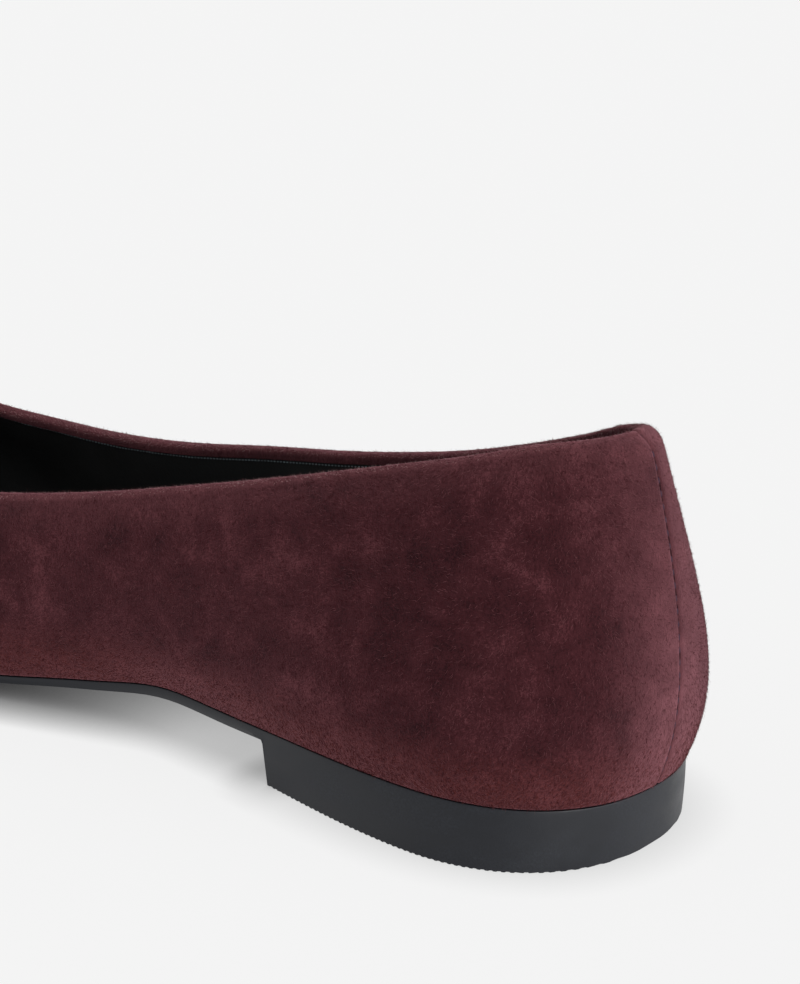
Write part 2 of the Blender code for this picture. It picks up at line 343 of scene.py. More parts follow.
class Board:
    """A material's node tree, with short ways to add nodes to it."""

    def __init__(self, name: str) -> None:
        """Starts a material with one Principled shader.

        Args:
            name: The material's name.
        """
        self.material = bpy.data.materials.new(name)
        self.material.use_nodes = True
        self.tree = self.material.node_tree
        self.shader = self.tree.nodes["Principled BSDF"]

    def node(self, kind: str, links: dict[object, object], **settings: object) -> bpy.types.Node:
        """Adds a node.

        Args:
            kind: The node's type name.
            links: For each input, by name or number, a value or the output that feeds it.
            **settings: Values for the node's properties.

        Returns:
            The new node.
        """
        node = self.tree.nodes.new(kind)
        for key, value in settings.items():
            setattr(node, key, value)
        self.join(node, links)
        return node

    def join(self, node: bpy.types.Node, links: dict[object, object]) -> None:
        """Gives a node its inputs.

        Args:
            node: The node.
            links: For each input, by name or number, a value or the output that feeds it.
        """
        for key, value in links.items():
            if isinstance(value, Socket):
                self.tree.links.new(value, node.inputs[key])
            else:
                node.inputs[key].default_value = value

    def place(self) -> Socket:
        """The place on the shoe in millimetres."""
        where = self.node("ShaderNodeTexCoord", {}).outputs["Object"]
        return self.stretched(where, (1.0 / MM, 1.0 / MM, 1.0 / MM))

    def stretched(self, vector: Socket, scale: Triple, turn: Triple = (0.0, 0.0, 0.0)) -> Socket:
        """A vector turned by angles in degrees, then scaled along each axis.

        Args:
            vector: The vector to change.
            scale: The factor along each axis.
            turn: The turn about each axis in degrees, made first.

        Returns:
            The new vector.
        """
        if any(turn):
            angles = tuple(math.radians(a) for a in turn)
            vector = self.node("ShaderNodeMapping", {"Vector": vector, "Rotation": angles}).outputs[0]
        return self.node("ShaderNodeMapping", {"Vector": vector, "Scale": scale}).outputs[0]

    def noise(self, vector: Socket, scale: float, detail: float = 2.0, rough: float = 0.5) -> Socket:
        """A cloud pattern from 0 to 1.

        Args:
            vector: Where it is read.
            scale: How many clouds there are to each unit.
            detail: How many finer layers it has.
            rough: How strong the finer layers are.

        Returns:
            The pattern's value.
        """
        links = {"Vector": vector, "Scale": scale, "Detail": detail, "Roughness": rough}
        return self.node("ShaderNodeTexNoise", links).outputs["Fac"]

    def warped(self, vector: Socket, scale: float, amount: float) -> Socket:
        """A vector pushed about by soft clouds.

        Args:
            vector: The vector to push.
            scale: The clouds' scale.
            amount: How far it is pushed at most, in the vector's units.

        Returns:
            The pushed vector.
        """
        links = {"Vector": vector, "Scale": scale, "Detail": 1.0}
        cloud = self.node("ShaderNodeTexNoise", links).outputs["Color"]
        middle = self.node(
            "ShaderNodeVectorMath", {0: cloud, 1: (0.5, 0.5, 0.5)}, operation="SUBTRACT"
        ).outputs[0]
        push = self.node(
            "ShaderNodeVectorMath", {0: middle, "Scale": 2.0 * amount}, operation="SCALE"
        ).outputs[0]
        return self.node("ShaderNodeVectorMath", {0: vector, 1: push}, operation="ADD").outputs[0]

    def math(
        self, operation: str, first: object, second: object = 0.0, clamp: bool = False
    ) -> Socket:
        """One sum of two values.

        Args:
            operation: The Math node's operation.
            first: A value or an output.
            second: A value or an output.
            clamp: Whether the result is kept from 0 to 1.

        Returns:
            The result.
        """
        links = {0: first, 1: second}
        return self.node("ShaderNodeMath", links, operation=operation, use_clamp=clamp).outputs[0]

    def product(self, *values: object) -> Socket:
        """The product of several values.

        Args:
            *values: Values or outputs, in their order.

        Returns:
            The product.
        """
        result = values[0]
        for value in values[1:]:
            result = self.math("MULTIPLY", result, value)
        return result

    def total(self, *parts: tuple[Socket, float]) -> Socket:
        """The sum of patterns, each times its weight.

        Args:
            *parts: Pairs of a pattern and its weight.

        Returns:
            The sum.
        """
        shares = [self.math("MULTIPLY", value, weight) for value, weight in parts]
        result = shares[0]
        for share in shares[1:]:
            result = self.math("ADD", result, share)
        return result

    def attribute(self, name: str) -> Socket:
        """A number that the piece's vertices carry."""
        return self.node("ShaderNodeAttribute", {}, attribute_name=name).outputs["Fac"]

    def spread(
        self, value: Socket, low: float, high: float, start: float = 0.0, end: float = 1.0
    ) -> Socket:
        """Maps a value from low..high to start..end, with soft ends.

        Args:
            value: The value to map.
            low: Where the result is start.
            high: Where the result is end.
            start: The result at low.
            end: The result at high.

        Returns:
            The mapped value.
        """
        links = {"Value": value, "From Min": low, "From Max": high, "To Min": start, "To Max": end}
        node = self.node("ShaderNodeMapRange", links, interpolation_type="SMOOTHSTEP")
        return node.outputs[0]

    def mix(self, share: object, first: object, second: object) -> Socket:
        """A colour between two colours.

        Args:
            share: 0 gives the first and 1 the second.
            first: A colour of three numbers, or an output.
            second: A colour of three numbers, or an output.

        Returns:
            The mixed colour.
        """
        ends = [c if isinstance(c, Socket) else (*c, 1.0) for c in (first, second)]
        node = self.node("ShaderNodeMix", {}, data_type="RGBA")
        self.join(node, {0: share, 6: ends[0], 7: ends[1]})
        return node.outputs[2]

    def bump(self, height: Socket, depth: float, strength: float) -> Socket:
        """A relief for the shader's normal.

        Args:
            height: The relief's height from 0 to 1.
            depth: How deep it is, in millimetres.
            strength: How much of it shows.

        Returns:
            The new normal.
        """
        links = {"Height": height, "Distance": depth * MM, "Strength": strength}
        return self.node("ShaderNodeBump", links).outputs[0]

    def set(self, **values: object) -> None:
        """Sets the shader's own inputs, named with _ for each space."""
        for key, value in values.items():
            self.shader.inputs[key.replace("_", " ")].default_value = value

    def feed(self, **outputs: Socket) -> None:
        """Feeds the shader's inputs, named with _ for each space, from other nodes."""
        for key, value in outputs.items():
            self.tree.links.new(value, self.shader.inputs[key.replace("_", " ")])


class Finish:
    """A finish that makes its material once and hands it out."""

    made: dict[str, bpy.types.Material] = {}

    def material(self) -> bpy.types.Material:
        """Hands out the finish's material.

        Returns:
            The material, made when it is first asked for.
        """
        name = type(self).__name__
        if name not in Finish.made:
            board = Board(name)
            self.dress(board)
            Finish.made[name] = board.material
        return Finish.made[name]

    def dress(self, board: Board) -> None:
        """Adds the finish's nodes to a new material."""
        raise NotImplementedError


@dataclass(frozen=True)
class BurgundySuede(Finish):
    """Burgundy suede: a short mottled nap that leans this way and that.

    Patterns are counted per millimetre, and places, heights and reaches are in millimetres.
    """

    deep: Triple = (0.0120, 0.0034, 0.0045)
    body: Triple = (0.0380, 0.0098, 0.0122)
    brushed: Triple = (0.0980, 0.0300, 0.0355)
    warm: Triple = (0.0800, 0.0170, 0.0150)
    # painted sheen: the pinkish colour laid beside the back seam, where light from behind falls
    painted_rose_sheen: Triple = (0.1500, 0.0560, 0.0660)
    # painted highlight: the colour laid along the topline's rolled edge, where light from above
    # catches it
    edge: Triple = (0.1700, 0.0620, 0.0700)
    pit: Triple = (0.0050, 0.0016, 0.0026)
    patch_scale: float = 0.055
    cloud_scale: float = 0.22
    stroke_scale: float = 3.6
    stroke_length: float = 0.75
    grain_scale: float = 5.5
    warm_below: float = 13.0
    seam_x: float = 112.0
    seam_fade: float = 12.0
    seam_y: float = 0.1
    seam_line: float = 0.28
    seam_breaks: float = 0.85
    halo_half: float = 16.8
    halo_top: float = 46.0
    halo_low: float = 10.0
    rim_band: float = 1.2
    rim_haze: float = 7.0

    def dress(self, board: Board) -> None:
        """Builds the mottled colour, the painted sheen by the back seam, the painted highlight along
        the topline and the nap's relief.

        Args:
            board: The material's nodes.
        """
        place = board.place()
        clouds = board.noise(board.warped(place, 0.10, 3.0), self.cloud_scale, 3.0, 0.6)
        strokes = self.strokes(board, place)
        grain = board.noise(place, self.grain_scale, 2.0, 0.6)
        patches = board.noise(place, self.patch_scale, 3.0, 0.55)
        tone = board.total((patches, 0.26), (clouds, 0.22), (strokes, 0.28), (grain, 0.24))
        colour = board.mix(board.spread(tone, 0.38, 0.50), self.deep, self.body)
        colour = board.mix(board.spread(tone, 0.50, 0.64), colour, self.brushed)
        low = board.spread(board.attribute(ABOVE_FEATHER), self.warm_below, 1.0, 0.0, 0.75)
        low = board.product(low, board.spread(strokes, 0.35, 0.65, 0.3, 1.0))
        colour = board.mix(low, colour, self.warm)
        colour = self.painted_back_sheen(board, place, clouds, colour)
        # painted highlight along the topline
        colour = board.mix(self.rim(board, grain, strokes), colour, self.edge)
        relief = board.total((strokes, 0.7), (grain, 0.3))
        board.feed(Base_Color=colour, Normal=board.bump(relief, 0.35, 0.7))
        board.set(
            Roughness=0.95,
            Specular_IOR_Level=0.05,
            Sheen_Weight=0.35,
            Sheen_Roughness=0.45,
            Sheen_Tint=(0.95, 0.42, 0.50, 1.0),
        )

    def strokes(self, board: Board, place: Socket) -> Socket:
        """Short brush strokes in two directions.

        Args:
            board: The material's nodes.
            place: The place in millimetres.

        Returns:
            A pattern from 0 to 1.
        """
        swirl = board.warped(place, 0.16, 2.2)
        fine, long = self.stroke_scale, self.stroke_length
        down = board.stretched(swirl, (fine, fine, long), (18.0, 22.0, 0.0))
        along = board.stretched(swirl, (long, fine, fine), (0.0, 24.0, 12.0))
        return board.total(*((board.noise(way, 1.0, 2.0, 0.6), 0.5) for way in (down, along)))

    def painted_back_sheen(self, board: Board, place: Socket, clouds: Socket, colour: Socket) -> Socket:
        """Paints a pinkish sheen about the back seam, stronger lower down, as painted light, and lays
        the seam's broken dark line.

        Args:
            board: The material's nodes.
            place: The place in millimetres.
            clouds: The clouds that make the painted sheen uneven.
            colour: The colour that it is laid over.

        Returns:
            The new colour.
        """
        axes = board.node("ShaderNodeSeparateXYZ", {"Vector": place}).outputs
        back = board.spread(axes[0], self.seam_x, self.seam_x + self.seam_fade)
        across = board.math("ABSOLUTE", board.math("SUBTRACT", axes[1], self.seam_y))
        height = board.spread(
            board.attribute(ABOVE_FEATHER), self.halo_top, self.halo_low, 0.60, 1.75
        )
        near = board.product(board.spread(across, self.halo_half, 0.0, 0.0, 0.70), height)
        # painted sheen: a pinkish band either side of the back seam, stronger lower down
        wear_and_sheen = board.math("MULTIPLY", board.product(back, near), clouds, clamp=True)
        broken = board.spread(board.noise(place, self.seam_breaks, 1.0, 0.5), 0.42, 0.60, 0.15, 0.95)
        line = board.product(back, board.spread(across, self.seam_line, 0.10), broken)
        return board.mix(line, board.mix(wear_and_sheen, colour, self.painted_rose_sheen), self.pit)

    def rim(self, board: Board, grain: Socket, strokes: Socket) -> Socket:
        """How much painted highlight the suede gets by the topline: a narrow band and a wide haze.

        Args:
            board: The material's nodes.
            grain: The pattern that breaks the band up.
            strokes: The pattern that breaks the haze up.

        Returns:
            A share from 0 to 1.
        """
        below = board.attribute(BELOW_TOPLINE)
        band = board.spread(below, self.rim_band, 0.1, 0.0, 0.5)
        haze = board.spread(below, self.rim_haze, 0.5, 0.0, 0.32)
        band = board.product(band, board.spread(grain, 0.3, 0.7, 0.4, 1.0))
        return board.math("ADD", band, board.product(haze, strokes))


@dataclass(frozen=True)
class ShortNap(Finish):
    """The body of the nap's fibres."""

    colour: Triple = (0.0600, 0.0155, 0.0190)

    def dress(self, board: Board) -> None:
        """Sets the fibres' plain colour and dull surface."""
        board.set(Base_Color=(*self.colour, 1.0), Roughness=1.0, Specular_IOR_Level=0.0)


@dataclass(frozen=True)
class WarmNap(ShortNap):
    """The redder fibres low down, by the feather line."""

    colour: Triple = (0.0980, 0.0215, 0.0185)


@dataclass(frozen=True)
class PaleNap(ShortNap):
    """The fibres that stand up and catch the light."""

    colour: Triple = (0.1750, 0.0700, 0.0780)


@dataclass(frozen=True)
class FringeNap(ShortNap):
    """The pale fibre tips on the topline's rolled edge, their colour a painted highlight."""

    colour: Triple = (0.4200, 0.2600, 0.2650)


@dataclass(frozen=True)
class BlackRubber(Finish):
    """Moulded black rubber: satin, with a faint blue-grey bloom and a fine grain."""

    base: Triple = (0.0030, 0.0040, 0.0074)
    bloom: Triple = (0.0125, 0.0150, 0.0215)

    def dress(self, board: Board) -> None:
        """Builds the bloom, the uneven gloss and the grain.

        Args:
            board: The material's nodes.
        """
        place = board.place()
        clouds = board.noise(board.stretched(place, (0.6, 1.0, 1.6)), 0.11, 3.0, 0.55)
        specks = board.noise(place, 3.2, 3.0, 0.65)
        dust = board.product(board.spread(clouds, 0.40, 0.75), board.spread(specks, 0.3, 0.8))
        colour = board.mix(dust, self.base, self.bloom)
        gloss = board.spread(clouds, 0.3, 0.7, 0.40, 0.52)
        fine = board.noise(place, 7.0, 2.0, 0.6)
        board.feed(Base_Color=colour, Roughness=gloss, Normal=board.bump(fine, 0.05, 0.35))
        board.set(Specular_IOR_Level=0.38)


@dataclass(frozen=True)
class BlackLining(Finish):
    """Smooth black lining leather with a faint pebble."""

    base: Triple = (0.0110, 0.0116, 0.0120)
    wear_and_sheen: Triple = (0.0180, 0.0185, 0.0190)

    def dress(self, board: Board) -> None:
        """Builds the pebble and the slightly polished places.

        Args:
            board: The material's nodes.
        """
        place = board.place()
        pebble = board.node(
            "ShaderNodeTexVoronoi", {"Vector": board.warped(place, 0.5, 0.3), "Scale": 1.6}
        ).outputs["Distance"]
        wear = board.noise(place, 0.07, 2.0)
        colour = board.mix(board.spread(wear, 0.4, 0.7), self.base, self.wear_and_sheen)
        board.feed(Base_Color=colour, Normal=board.bump(pebble, 0.06, 0.5))
        board.set(Roughness=0.55, Specular_IOR_Level=0.35)


@dataclass(frozen=True)
class SeamThread(Finish):
    """Wine-coloured thread of the back seam."""

    colour: Triple = (0.0260, 0.0070, 0.0230)
    dark_share: float = 0.6
    light_share: float = 1.5
    twist_scale: Triple = (9.0, 9.0, 3.0)
    twist_turn: Triple = (0.0, 35.0, 0.0)
    roughness: float = 0.6

    def dress(self, board: Board) -> None:
        """Builds the thread's twist.

        Args:
            board: The material's nodes.
        """
        place = board.stretched(board.place(), self.twist_scale, self.twist_turn)
        twist = board.noise(place, 1.0, 1.0)
        ends = [tuple(share * c for c in self.colour) for share in (self.dark_share, self.light_share)]
        board.feed(Base_Color=board.mix(twist, *ends), Normal=board.bump(twist, 0.05, 0.6))
        board.set(Roughness=self.roughness, Specular_IOR_Level=0.3)


@dataclass(frozen=True)
class GreyThread(SeamThread):
    """Slate-grey thread along the edge of the folded facing."""

    colour: Triple = (0.260, 0.330, 0.360)
    light_share: float = 1.3
    twist_scale: Triple = (3.0, 9.0, 9.0)
    twist_turn: Triple = (0.0, 0.0, 30.0)
    roughness: float = 0.65


@dataclass(frozen=True)
class PaleFloor(Finish):
    """A plain pale table lit from within, as product photographers use, with a soft contact shadow."""

    colour: Triple = (0.08, 0.08, 0.08)
    glow: float = 0.833
    shadow_reach: float = 9.0
    shadow_samples: int = 24
    shadow_power: float = 1.4
    heel_from_x: float = 66.0
    heel_fade: float = 14.0
    heel_share: float = 0.3

    def dress(self, board: Board) -> None:
        """Sets the table's plain colour and lets its glow sink where the waist stands close over it.

        Args:
            board: The material's nodes.
        """
        reach = {"Distance": self.shadow_reach * MM}
        near = board.node("ShaderNodeAmbientOcclusion", reach, samples=self.shadow_samples)
        open_share = board.math("POWER", near.outputs["AO"], self.shadow_power)
        sunk = board.math("SUBTRACT", 1.0, open_share)
        x = board.node("ShaderNodeSeparateXYZ", {"Vector": board.place()}).outputs[0]
        heel_to_x = self.heel_from_x + self.heel_fade
        share = board.spread(x, self.heel_from_x, heel_to_x, 1.0, self.heel_share)
        board.feed(Emission_Color=board.math("SUBTRACT", 1.0, board.product(sunk, share)))
        board.set(Base_Color=(*self.colour, 1.0), Roughness=0.9, Specular_IOR_Level=0.0)
        board.set(Emission_Strength=self.glow)


@dataclass
class Spine:
    """The middle of the foot's space along the shoe, measured on the upper's own wall."""

    node: Piece
    nose_margin: float = 14.0
    heel_margin: float = 28.0
    step: float = 4.0
    places: np.ndarray = field(init=False)
    middles: np.ndarray = field(init=False)

    def __post_init__(self) -> None:
        """Measures the wall in slices across the shoe."""
        points = points_of(self.node)
        low = points[:, 0].min() + self.nose_margin
        high = points[:, 0].max() - self.heel_margin
        self.places = np.linspace(low, high, int((high - low) / self.step))
        slices = [points[abs(points[:, 0] - x) < self.step][:, 1:] for x in self.places]
        self.middles = np.array([0.5 * (s.min(axis=0) + s.max(axis=0)) for s in slices])

    def at(self, x: float) -> Vector:
        """Finds the spine's point level with a place along the shoe.

        Args:
            x: The place in metres.

        Returns:
            The point in metres, or the spine's nearer end.
        """
        place = min(max(x / MM, self.places[0]), self.places[-1])
        y, z = (np.interp(place, self.places, self.middles[:, i]) for i in range(2))
        return Vector((place, y, z)) * MM


@dataclass
class Line:
    """A line round the shoe, whose height can be read level with any place on either side."""

    points: np.ndarray
    overlap: float = 0.5

    def height(self, x: np.ndarray, y: np.ndarray) -> np.ndarray:
        """The line's height level with x, on y's side.

        Args:
            x: Places along the shoe in millimetres.
            y: Places across it, of which only the side counts.

        Returns:
            Heights in millimetres.
        """
        sides = []
        for side in (-1.0, 1.0):
            own = self.points[self.points[:, 1] * side >= -self.overlap]
            own = own[np.argsort(own[:, 0])]
            sides.append(np.interp(x, own[:, 0], own[:, 2]))
        return np.where(y < 0.0, *sides)


@dataclass
class Skin:
    """The triangles of a sheet, from which the nap grows."""

    corners: np.ndarray
    normals: np.ndarray
    heights: np.ndarray
    belows: np.ndarray

    @staticmethod
    def of(piece: Piece) -> "Skin":
        """Reads a sheet's triangles.

        Args:
            piece: The sheet, whose vertices carry their heights.

        Returns:
            Its triangles' corners, corner normals and mean heights, in millimetres.
        """
        mesh = piece.data
        mesh.calc_loop_triangles()
        count = len(mesh.loop_triangles)
        corners = np.empty(count * 3, np.int32)
        mesh.loop_triangles.foreach_get("vertices", corners)
        corners = corners.reshape(-1, 3)
        means = []
        for name in (ABOVE_FEATHER, BELOW_TOPLINE):
            values = np.empty(len(mesh.vertices), np.float32)
            mesh.attributes[name].data.foreach_get("value", values)
            means.append(values[corners].mean(axis=1))
        return Skin(points_of(piece)[corners], read(mesh, "normal")[corners], *means)

    def areas(self) -> np.ndarray:
        """Each triangle's area in square millimetres."""
        a, b, c = self.corners[:, 0], self.corners[:, 1], self.corners[:, 2]
        return 0.5 * np.linalg.norm(np.cross(b - a, c - a), axis=1)


@dataclass
class Wall:
    """The upper's wall as packed, with each face marked by its zone."""

    node: Piece
    collar_above: float = 20.0
    feather_below: float = 12.0
    feather_bend: float = 30.0
    rim_bend: float = 65.0
    facing_rows: int = 1
    spine: Spine = field(init=False)
    topline: Line = field(init=False)
    feather: Line = field(init=False)
    rim: np.ndarray = field(init=False)

    def __post_init__(self) -> None:
        """Measures the middle of the foot's space, the topline and the feather line."""
        self.spine = Spine(self.node)
        guide = self.marked_copy("guide")
        bpy.data.objects.remove(guide)

    def marked_copy(self, name: str) -> Piece:
        """A copy whose faces carry a whole number, zone.

        Args:
            name: The copy's name.

        Returns:
            The copy.
        """
        piece = copy_of(self.node, name)
        model = bmesh.new()
        model.from_mesh(piece.data)
        model.normal_update()
        zone = model.faces.layers.int.new("zone")
        for face in model.faces:
            centre = face.calc_center_median()
            inward = face.normal.dot(self.spine.at(centre.x) - centre) > 0.0
            inside = inward and not self.on_rim(face)
            face[zone] = Zone.INNER.value if inside else Zone.OUTER.value
        high = (e for e in model.edges if middle_height(e) > self.collar_above)
        rim = [e for e in high if len({f[zone] for f in e.link_faces}) == 2]
        self.rim = np.array([[v.co / MM for v in e.verts] for e in rim])
        reached = {v for e in rim for v in e.verts}
        self.topline = Line(np.array([v.co / MM for v in reached]))
        corners = {v for e in model.edges if self.by_feather(e) for v in e.verts}
        lowest = [v for v in corners if any(f[zone] == Zone.OUTER.value for f in v.link_faces)]
        self.feather = Line(np.array([v.co / MM for v in lowest]))
        for row in range(self.facing_rows + 1):
            step = row == self.facing_rows
            faces = {f for v in reached for f in v.link_faces if f[zone] == Zone.INNER.value}
            for face in faces:
                face[zone] = Zone.STEP.value if step else Zone.FACING.value
            reached = {v for f in faces for v in f.verts} - reached
        model.to_mesh(piece.data)
        model.free()
        return piece

    def from_rim(self, points: np.ndarray) -> np.ndarray:
        """How far each point is from the topline's inner edge.

        Args:
            points: Places in millimetres.

        Returns:
            Distances in millimetres.
        """
        nearest = np.full(len(points), np.inf)
        for start, end in self.rim:
            nearest = np.minimum(nearest, from_segment(points, start, end)[1])
        return nearest

    def on_rim(self, face: bmesh.types.BMFace) -> bool:
        """Whether a face is part of the topline's flat edge, between two sharp corners."""
        return sum(self.by_topline(e, self.rim_bend) for e in face.edges) >= 2

    def by_topline(self, edge: bmesh.types.BMEdge, angle: float) -> bool:
        """Whether an edge lies by the topline and bends more than this many degrees."""
        return middle_height(edge) > self.collar_above and bend(edge) > angle

    def by_feather(self, edge: bmesh.types.BMEdge) -> bool:
        """Whether an edge is part of the upper's corners by the sole."""
        return middle_height(edge) < self.feather_below and bend(edge) > self.feather_bend

    @staticmethod
    def drop(piece: Piece, *zones: Zone) -> None:
        """Deletes faces by their zones.

        Args:
            piece: A marked copy in edit mode.
            *zones: The zones that go.
        """
        layer = bmesh.from_edit_mesh(piece.data).faces.layers.int["zone"]
        values = {z.value for z in zones}
        pick(piece, Part.FACES, lambda f: f[layer] in values)
        bpy.ops.mesh.delete(type="FACE")


@dataclass
class Relief:
    """One soft trough or ridge of the suede, across the wall from one point to another."""

    start: Pair
    end: Pair
    height: float
    width: float
    medial: bool = True
    blunt_end: float = 0.06
    blunt_power: float = 0.6

    def lift(self, points: np.ndarray) -> np.ndarray:
        """How far each point is lifted, in millimetres.

        Args:
            points: Places in millimetres.

        Returns:
            One number for each point.
        """
        side = points[:, 1] < 0.0 if self.medial else points[:, 1] >= 0.0
        share, away = from_segment(points[:, [0, 2]], np.array(self.start), np.array(self.end))
        inner = np.clip(share, self.blunt_end, 1.0 - self.blunt_end)
        fade = np.sin(np.pi * inner) ** self.blunt_power
        return side * self.height * fade * bell(away, self.width)


@dataclass
class SuedeUpper:
    """The suede: its outside, the edge rolled over the topline and the facing inside."""

    wall: Wall
    sheet: float = 0.5
    curl_in: float = 1.5
    curl_depth: float = 4.0
    curl_from_x: float = 62.0
    curl_fade: float = 48.0
    curl_back_x: float = 121.0
    drop_from_x: float = 111.0
    drop_fade: float = 10.0
    drop_shares: Pair = (0.05, 0.65)
    rim_width: float = 2.0
    collar_bend: float = 45.0
    roll: float = 0.7
    feather_roll: float = 0.45
    seam_from_x: float = 100.0
    seam_half: float = 6.0
    seam_cuts: tuple[float, ...] = (-2.4, -1.2, -0.6, -0.35, -0.16, 0.0, 0.16, 0.35, 0.6, 1.2, 2.4)
    seam_start_x: float = 108.0
    seam_grow: float = 6.0
    seam_depth: float = 0.28
    seam_width: float = 0.26
    seam_ridge: float = 0.08
    seam_ridge_place: float = 1.1
    seam_ridge_width: float = 0.8
    seam_y: float = 0.1
    folds: tuple[Relief, ...] = (
        Relief((78.0, 30.0), (48.0, 22.0), -0.30, 3.5),
        Relief((96.0, 46.0), (86.0, 24.0), 0.20, 4.0),
        Relief((60.0, 40.0), (30.0, 31.0), 0.22, 2.6),
        Relief((72.0, 18.0), (40.0, 12.0), 0.22, 3.2),
        Relief((20.0, 26.0), (-14.0, 19.0), -0.22, 4.0),
        Relief((80.0, 30.0), (52.0, 20.0), -0.26, 3.5, medial=False),
        Relief((56.0, 34.0), (28.0, 26.0), 0.20, 3.0, medial=False),
        Relief((-40.0, 26.0), (-72.0, 14.0), -0.25, 3.5, medial=False),
        Relief((-42.0, 28.0), (-70.0, 16.0), -0.22, 3.5),
    )
    skin: Skin = field(init=False)

    def build(self) -> Piece:
        """Models the suede.

        Returns:
            The closed sheet of suede.
        """
        piece = self.wall.marked_copy("suede_upper")
        with editing(piece):
            Wall.drop(piece, Zone.STEP, Zone.INNER)
            pick(piece, Part.EDGES, lambda e: self.wall.by_topline(e, self.collar_bend))
            rounded(self.roll, 3)
            pick(piece, Part.EDGES, self.wall.by_feather)
            rounded(self.feather_roll, 2)
        subdivided(piece, 2)
        with editing(piece):
            for cut in self.seam_cuts:
                pick(piece, Part.FACES, self.crosses_back)
                bpy.ops.mesh.bisect(
                    plane_co=(0.0, (self.seam_y + cut) * MM, 0.0), plane_no=(0.0, 1.0, 0.0)
                )
        points = points_of(piece)
        points = points + read(piece.data, "normal") * self.relief(points)[:, None]
        set_points(piece, points + self.curl(points))
        WaistBend().settle(piece)
        self.mark_height(piece)
        self.skin = Skin.of(piece)
        apply(piece, "SOLIDIFY", thickness=self.sheet * MM, offset=-1.0)
        finish_piece(piece, BurgundySuede(), Slot.SUEDE, 60.0)
        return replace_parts(piece, "upper")

    def curl(self, points: np.ndarray) -> np.ndarray:
        """How the topline curls in over the heel, as a shift in millimetres.

        Args:
            points: Places in millimetres.

        Returns:
            One vector for each point.
        """
        place = np.minimum(points[:, 0], self.curl_back_x)
        below = self.wall.topline.height(place, points[:, 1]) - points[:, 2]
        near = np.clip(1.0 - below / self.curl_depth, 0.0, 1.0) ** 2
        fade = ramp(points[:, 0], self.curl_from_x, self.curl_fade)
        spine = self.wall.spine
        middle = np.interp(points[:, 0], spine.places, spine.middles[:, 0])
        forward = np.minimum(spine.places[-1] - points[:, 0], 0.0)
        inward = unit(np.stack([forward, middle - points[:, 1]], axis=1))
        amount = self.curl_in * near * fade * fade * (3.0 - 2.0 * fade)
        drop_to_x = self.drop_from_x + self.drop_fade
        drop = np.interp(points[:, 0], (self.drop_from_x, drop_to_x), self.drop_shares)
        return np.column_stack([inward * amount[:, None], -drop * amount])

    def mark_height(self, piece: Piece) -> None:
        """Gives every vertex its height above the feather line and below the topline in millimetres.

        Args:
            piece: The sheet of suede.
        """
        points = points_of(piece)
        feather = self.wall.feather.height(points[:, 0], points[:, 1])
        topline = self.wall.topline.height(points[:, 0], points[:, 1])
        below = np.maximum(topline - points[:, 2], self.wall.from_rim(points) - self.rim_width)
        values = {ABOVE_FEATHER: points[:, 2] - feather, BELOW_TOPLINE: below}
        for name, value in values.items():
            layer = piece.data.attributes.new(name, "FLOAT", "POINT")
            layer.data.foreach_set("value", value.astype(np.float32))

    def crosses_back(self, face: bmesh.types.BMFace) -> bool:
        """Whether a face lies by the back seam, outside or on the rolled edge."""
        return face.calc_center_median().x > self.seam_from_x * MM and any(
            abs(v.co.y) < self.seam_half * MM for v in face.verts
        )

    def relief(self, points: np.ndarray) -> np.ndarray:
        """How far the suede stands proud of the last, in millimetres.

        Args:
            points: Places in millimetres.

        Returns:
            One number for each point.
        """
        lift = sum(fold.lift(points) for fold in self.folds)
        across = points[:, 1] - self.seam_y
        back = ramp(points[:, 0], self.seam_start_x, self.seam_grow)
        groove = -self.seam_depth * bell(across, self.seam_width)
        ridge = self.seam_ridge * bell(abs(across) - self.seam_ridge_place, self.seam_ridge_width)
        return lift + back * (groove + ridge)


